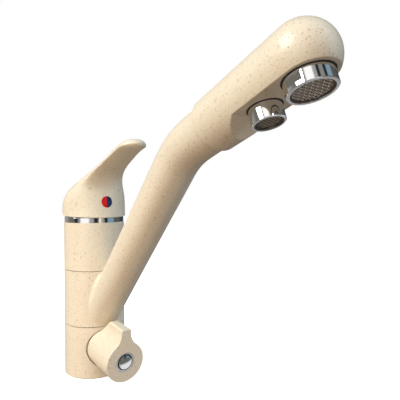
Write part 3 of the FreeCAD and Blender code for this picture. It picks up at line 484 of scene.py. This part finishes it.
# %% [markdown]
# ## The woven screen
# The large aerator ends in a screen of woven steel wire: each wire goes over one wire of the other
# direction and under the next. A texture of crossing lines would look flat this close to the
# outlet, and solid wires would be far too heavy for the workshop, so each wire is a curve with
# a round section. Its height is a sine with one turn for two crossings, and neighbours start half
# a turn apart. That alone makes a weave. Lime has made its steel paler and duller.

# %% Weave the screen
screen_steel = turned_metal("screen_steel", (0.86, 0.79, 0.71), (0.66, 0.58, 0.50), 0.50)
wires_each_way = 10
wire_radius = 0.21 * MM
wave_height = 0.19 * MM
points_per_crossing = 5


def woven_screen(axle, name):
    low, high, radius = axle.reach(name)
    level = (low + high) / 2
    pitch = 2 * radius / wires_each_way
    curve = bpy.data.curves.new("main_screen", "CURVE")
    curve.dimensions = "3D"
    curve.bevel_depth = wire_radius
    curve.bevel_resolution = 1
    for lengthwise in (True, False):
        for number in range(wires_each_way):
            offset = (number + 0.5) * pitch - radius
            half = math.sqrt(radius ** 2 - offset ** 2)
            crossings = 2 * half / pitch
            count = max(points_per_crossing, round(crossings * points_per_crossing))
            wire = curve.splines.new("POLY")
            wire.points.add(count - 1)
            for index, point in enumerate(wire.points):
                along = -half + 2 * half * index / (count - 1)
                turn = math.pi * (along / pitch + number + (0 if lengthwise else 1))
                height = level + wave_height * math.sin(turn)
                place = (along, offset) if lengthwise else (offset, along)
                across = (place[0] - place[1]) / math.sqrt(2)
                up = (place[0] + place[1]) / math.sqrt(2)
                point.co = (*axle.point(across, up, height), 1)
    screen = bpy.data.objects.new("main_screen", curve)
    curve.materials.append(screen_steel.material)
    bpy.context.scene.collection.objects.link(screen)
    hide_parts(name)
    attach(screen, "spout")
    print("screen:", 2 * wires_each_way, "wires,", round(pitch / MM, 2), "mm apart")


woven_screen(main_axle, "main_aerator_mesh")

# %% [markdown]
# ## A lathe for small pieces
# The cap and the rings are round about an axle, so one function spins a half outline about it, as
# a lathe does. Blender's Screw modifier could do that too, but the axles here slant, so each
# would need a helper object laid along it. The outline's points are (radius, height) in
# millimetres. A point on the axle becomes a single point of the mesh. A closed outline comes back
# to its start, as a ring's does. The belts that are named as the groove take the second finish.

# %% Turn a piece
sharp_from = math.radians(28)


def turned(name, axle, outline, finishes, groove=(), closed=False, steps=128):
    mesh = bmesh.new()
    rings = []
    for away, rise in outline:
        ring = []
        for step in range(1 if away == 0 else steps):
            turn = math.tau * step / steps
            across, up = away * MM * math.cos(turn), away * MM * math.sin(turn)
            ring.append(mesh.verts.new(axle.point(across, up, rise * MM)))
        rings.append(ring)
    belts = list(zip(rings, rings[1:] + rings[:1])) if closed else list(zip(rings, rings[1:]))
    for number, (inner, outer) in enumerate(belts):
        for step in range(steps):
            after = (step + 1) % steps
            corners = [inner[step % len(inner)], outer[step % len(outer)],
                       outer[after % len(outer)], inner[after % len(inner)]]
            face = mesh.faces.new(list(dict.fromkeys(corners)))
            face.material_index = 1 if number in groove else 0
    bmesh.ops.recalc_face_normals(mesh, faces=mesh.faces)
    sheet = bpy.data.meshes.new(name)
    mesh.to_mesh(sheet)
    mesh.free()
    sheet.shade_smooth()
    sheet.set_sharp_from_angle(angle=sharp_from)
    for finish in finishes:
        sheet.materials.append(finish.material)
    piece = bpy.data.objects.new(name, sheet)
    bpy.context.scene.collection.objects.link(piece)
    print(name, "turned,", len(sheet.vertices), "points")
    return piece


print("lathe ready")

# %% [markdown]
# ## The cap in the knob
# The bright cap hides the knob's screw. It is a stepped button: a narrow flange lies in the
# recess and a flat dome stands proud of it. The groove between them is painted black as painted
# shade. Seen from one side the dome hides half of that groove, and the rest shows as a black
# crescent. A cylinder with a bevel wouldn't give the step, so the half outline is written point
# by point. Heights are measured from the top of the plain cap, outward counting up.

# %% The cap
dome = [(0.0, 0.45), (1.6, 0.41), (3.1, 0.29), (4.4, 0.10), (5.0, -0.06), (5.3, -0.25)]
# The groove takes the black rubber finish as painted shade.
shaded_groove = [(5.42, -0.55), (5.46, -1.0), (5.55, -1.3), (6.0, -1.3), (6.2, -0.9)]
flange = [(6.3, -0.84), (7.35, -0.84)]
flange_edge = -1.0


def bright_cap():
    low, high, radius = (length / MM for length in knob_axle.reach("knob_cap"))
    upper = dome + shaded_groove + flange + [(radius, flange_edge)]
    outline = [(away, high + rise) for away, rise in upper] + [(radius, low), (0.0, low)]
    groove = range(len(dome), len(dome) + len(shaded_groove) - 1)
    cap = turned("bright_cap", knob_axle, outline, [chrome, seal_rubber], groove)
    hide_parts("knob_cap")
    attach(cap, "filter_knob")


bright_cap()

# %% [markdown]
# ## Black rings of painted shade at the outlets
# A thin black rubber ring fills the gap where each aerator disappears into the head. It is painted
# shade: it draws the dark line of shade that one sees in that gap. The same lathe spins it: its
# half outline is a small circle that closes on itself. A ready-made torus would do too, but it
# would have to be turned to the axle by hand. The aerator is screwed in for part of its length, the
# ring is sunk a little below the edge of the head, and the middle of its round section lies just
# outside the aerator.

# %% The black shade rings
screwed_in = 4.4 * MM
sunk_mm = 0.15
outside_mm = 0.30
section_radius_mm = 0.42
section_sides = 12


def outlet_shade_ring(name, axle, housing):
    low, _, radius = axle.reach(housing)
    level = (low + screwed_in) / MM - sunk_mm
    middle_radius = radius / MM + outside_mm
    outline = []
    for side in range(section_sides):
        turn = math.tau * side / section_sides
        outline.append((middle_radius + section_radius_mm * math.cos(turn),
                        level + section_radius_mm * math.sin(turn)))
    # A black rubber ring as painted shade in the gap round the aerator.
    ring = turned(name, axle, outline, [seal_rubber], closed=True, steps=96)
    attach(ring, "spout")


outlet_shade_ring("main_outlet_shade_ring", main_axle, "main_aerator_housing")
outlet_shade_ring("filter_outlet_shade_ring", filter_axle, "filter_aerator_housing")

# %% [markdown]
# ## The studio
# The tap is photographed from its front left, a little above its middle, from only about 0.3 m
# away and with a slightly wide lens. A camera in Blender looks along its own -Z, so it is first
# tipped up by 90 degrees and then turned.

# %% Camera at the photographer's place
camera_place = Vector((-0.1536, -0.3498, 0.1493))
camera_turn = math.radians(37.49)
camera_tilt = math.radians(-0.77)
camera_roll = math.radians(0.18)
lens_length = 38.80
sensor_width = 36.0

camera = bpy.data.objects.new("camera", bpy.data.cameras.new("camera"))
camera.data.lens = lens_length
camera.data.sensor_width = sensor_width
camera.data.clip_start = 0.01
camera.location = camera_place
camera.rotation_euler = (math.radians(90) + camera_tilt, camera_roll, -camera_turn)
bpy.context.scene.collection.objects.link(camera)
bpy.context.scene.camera = camera
view_right = Vector((math.cos(camera_turn), -math.sin(camera_turn), 0))
view_away = Vector((math.sin(camera_turn), math.cos(camera_turn), 0))
middle = Vector((0, -0.09, 0.11))
print("camera stands", round((camera_place - middle).length, 3), "m from the middle of the tap")

# %% [markdown]
# Soft panels light it. The main one stands high on the left and is slightly cool. A weaker warm
# one beside the camera fills the side that faces the viewer, and the undersides stay darker and
# browner. That shading is what makes the pipe look round. A blue one on the right and a weak one
# behind on that side keep the far edges from going dull. Two small low ones stand in for what a
# bright table throws back on the foot and the knob. Panels are placed as the viewer sees them: how
# far right, up and towards the camera from the middle of the tap. Only the main one shows in the
# chrome and the gloss. The others would be hard squares there.

# %% Light panels
def light_panel(name, right, up, toward, size, watts, colour, aim=middle, mirrored=False,
                spread=180):
    """A soft panel that faces the tap. Chrome and gloss show it only when it is mirrored."""
    lamp = bpy.data.objects.new(name, bpy.data.lights.new(name, "AREA"))
    lamp.data.shape = "RECTANGLE"
    lamp.data.size, lamp.data.size_y = size
    lamp.data.energy = watts
    lamp.data.color = colour
    lamp.data.spread = math.radians(spread)
    lamp.visible_glossy = mirrored
    lamp.location = middle + view_right * right + Vector((0, 0, up)) - view_away * toward
    lamp.rotation_euler = (aim - lamp.location).to_track_quat("-Z", "Y").to_euler()
    bpy.context.scene.collection.objects.link(lamp)


cool_white = (0.88, 0.965, 1.0)
sky_blue = (0.64, 0.80, 1.0)
warm = (1.0, 0.78, 0.58)
light_panel("high_left_panel", -0.75, 0.70, 0.40, (0.7, 0.7), 10.7, cool_white, mirrored=True)
light_panel("front_panel", -0.42, 0.42, 1.10, (0.62, 0.95), 3.6, warm)
light_panel("cool_right_panel", 0.75, 0.55, 0.25, (0.3, 0.8), 4.8, sky_blue)
light_panel("back_right_panel", 0.65, 0.35, -0.95, (0.5, 0.8), 2.2, cool_white)
foot = Vector((0, -0.02, 0.03))
light_panel("foot_panel", -0.28, -0.085, 0.25, (0.25, 0.05), 0.42, warm, aim=foot)
knob_front = Vector((0, -0.055, 0.022))
light_panel("knob_lamp", 0.38, -0.07, 0.36, (0.06, 0.06), 0.010, warm, aim=knob_front, spread=30)
print("light panels set")

# %% [markdown]
# Chrome shows nothing but the room, so the room must have something to show. A studio has pale
# walls where light comes back, and black cloth where the photographer wants a dark edge. Both are
# painted on the surrounding world as upright bands, each a compass direction in degrees and a
# colour. A picture of a real studio would do too, but bands can be moved until each reflection
# sits where it should. The table below has bands of its own, and two more colours: far out in
# front of the tap, and in the light that it throws back on the paint.

# %% The bands of the room
white_sheet = (1.28, 1.24, 1.18)
pale_wall = (0.44, 0.42, 0.40)
grey_wall = (0.30, 0.29, 0.27)
warm_wall = (0.19, 0.175, 0.15)
dark_wall = (0.11, 0.115, 0.11)
black_cloth = (0.03, 0.03, 0.04)
blue_window = (0.25, 0.38, 0.45)
room_bands = [
    (-180, grey_wall), (-172, grey_wall), (-165, white_sheet), (-138, white_sheet),
    (-129, pale_wall), (-118, pale_wall), (-113, black_cloth), (-103, black_cloth),
    (-97, grey_wall), (-80, grey_wall), (-75, black_cloth), (-64, black_cloth),
    (-58, blue_window), (-36, blue_window), (-30, dark_wall), (-8, dark_wall),
    (24, black_cloth), (50, warm_wall), (66, pale_wall), (110, pale_wall),
    (140, warm_wall), (160, warm_wall), (170, black_cloth), (177, black_cloth),
]
bright_table = (0.93, 0.93, 0.93)
table_bands = [(-180, grey_wall), (-120, pale_wall), (-75, bright_table), (-20, bright_table),
               (0, pale_wall), (90, grey_wall)]
far_table = (0.17, 0.17, 0.155)
table_on_paint = (0.18, 0.135, 0.095)
print("bands in the room:", len(room_bands))

# %% [markdown]
# Two ramps hold the bands, and the compass direction in which a ray leaves picks the colour. How
# steeply it falls decides between room and table. In the chrome the table shows its bands, and it
# is dim far out in front of the tap. On the paint its light is dull and warm. To the camera the
# room is plain white.

# %% The room
table_edge = -0.10
edge_sharpness = 5
near_slope = 1.4
near_sharpness = 6
room_strength = 0.9


def studio_room():
    world = bpy.data.worlds.new("studio_room")
    world.use_nodes = True
    room = Network(world.node_tree)
    ray = room.node("ShaderNodeTexCoord", {}, {}, "Generated")
    across = room.node("ShaderNodeSeparateXYZ", {}, {"Vector": ray}, "X")
    along = room.node("ShaderNodeSeparateXYZ", {}, {"Vector": ray}, "Y")
    direction = along.maths("ARCTAN2", along, across) / math.tau + 0.5

    def painted(bands):
        stops = [((degrees + 180) / 360, colour) for degrees, colour in bands]
        return room.node("ShaderNodeValToRGB", {"stops": stops}, {"Fac": direction}, "Color")

    seen = room.node("ShaderNodeLightPath", {}, {}, "Is Camera Ray")
    mirrored = room.node("ShaderNodeLightPath", {}, {}, "Is Glossy Ray")
    upward = room.node("ShaderNodeSeparateXYZ", {}, {"Vector": ray}, "Z")
    below = ((table_edge - upward) * edge_sharpness).kept_to_unit()
    near = ((along - upward * near_slope) * near_sharpness + 0.5).kept_to_unit()
    glowing = room.colour(near, far_table, painted(table_bands))
    table = room.colour(mirrored, table_on_paint, glowing)
    around = room.colour(below, painted(room_bands), table)
    shown = {"Color": around, "Strength": room_strength}
    walls = room.node("ShaderNodeBackground", {}, shown, "Background")
    plain_white = {"Color": (1, 1, 1, 1), "Strength": 1.0}
    backdrop = room.node("ShaderNodeBackground", {}, plain_white, "Background")
    both = room.node("ShaderNodeMixShader", {}, {0: seen, 1: walls, 2: backdrop}, "Shader")
    output = next(node for node in world.node_tree.nodes if node.type == "OUTPUT_WORLD")
    room.feed(output.inputs[0], both)
    bpy.context.scene.world = world


studio_room()
print("room ready")

# %% [markdown]
# The tap stands on a table of pale acrylic that is lit from underneath, as tables for product
# pictures are. A plain sheet that glows does for the eye. Its light is kept off the paint, because
# it would wash out the underside of the spout, and it is kept out of the mirror images. The lower
# half of the room already gives both.

# %% The pale table
floor_reach = 3.0


def pale_floor():
    finish = Finish("pale_floor", emission_strength=0.86)
    cloud = finish.noise(60 * MM)
    finish.set(base_color=finish.colour(cloud, (0.90, 0.90, 0.89), (0.93, 0.93, 0.925)),
               roughness=0.6 + finish.noise(20 * MM) * 0.1,
               emission_color=finish.colour(cloud, (0.98, 0.98, 0.98), (1.0, 1.0, 1.0)))
    sheet = bpy.data.meshes.new("floor")
    signs = [(-1, -1), (1, -1), (1, 1), (-1, 1)]
    corners = [(floor_reach * across, floor_reach * along, 0) for across, along in signs]
    sheet.from_pydata(corners, [], [(0, 1, 2, 3)])
    sheet.materials.append(finish.material)
    floor = bpy.data.objects.new("floor", sheet)
    floor.visible_diffuse = False
    floor.visible_glossy = False
    bpy.context.scene.collection.objects.link(floor)


pale_floor()
bpy.context.scene.view_settings.view_transform = "Standard"
print("table ready")
